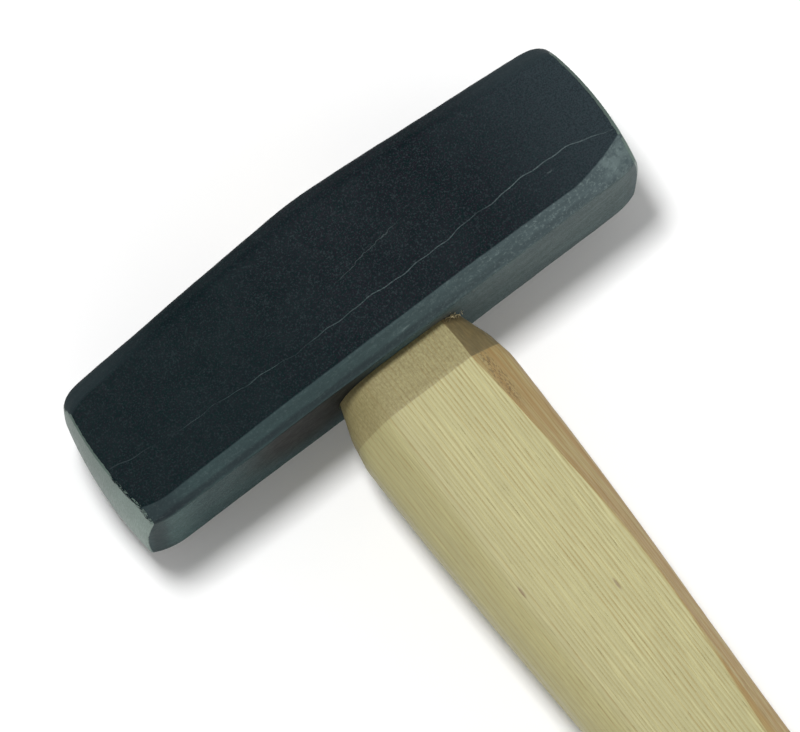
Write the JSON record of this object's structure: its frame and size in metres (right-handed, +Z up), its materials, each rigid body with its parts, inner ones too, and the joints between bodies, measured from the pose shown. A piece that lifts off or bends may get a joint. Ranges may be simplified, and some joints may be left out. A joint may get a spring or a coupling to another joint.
{
  "type": "lump hammer",
  "caption": "Short-handled lump hammer: forged head with two crowned striking faces, and an ash handle wedged in its eye.",
  "frame": {"origin": "middle of the level part of the lower cheek, on which the hammer lies; below the eye and level with the middle of the striking faces", "axes": "+X along the head towards its right striking face, -Y along the handle towards the butt, +Z up from the lower cheek to the upper one"},
  "size_m": [0.12, 0.26, 0.04],
  "materials": {
    "forged_head": "satin blue-black over forged steel, with bare ground crowns",
    "ash": "sanded, bare",
    "wedge_wood": "sawn end grain",
    "wedge_steel": "blued, hammered on top"
  },
  "bodies": {
    "root": {"hammer_head": "forged_head", "handle": "ash", "wood_wedge": "wedge_wood", "steel_wedge_1": "wedge_steel", "steel_wedge_2": "wedge_steel"}
  },
  "joints": []
}
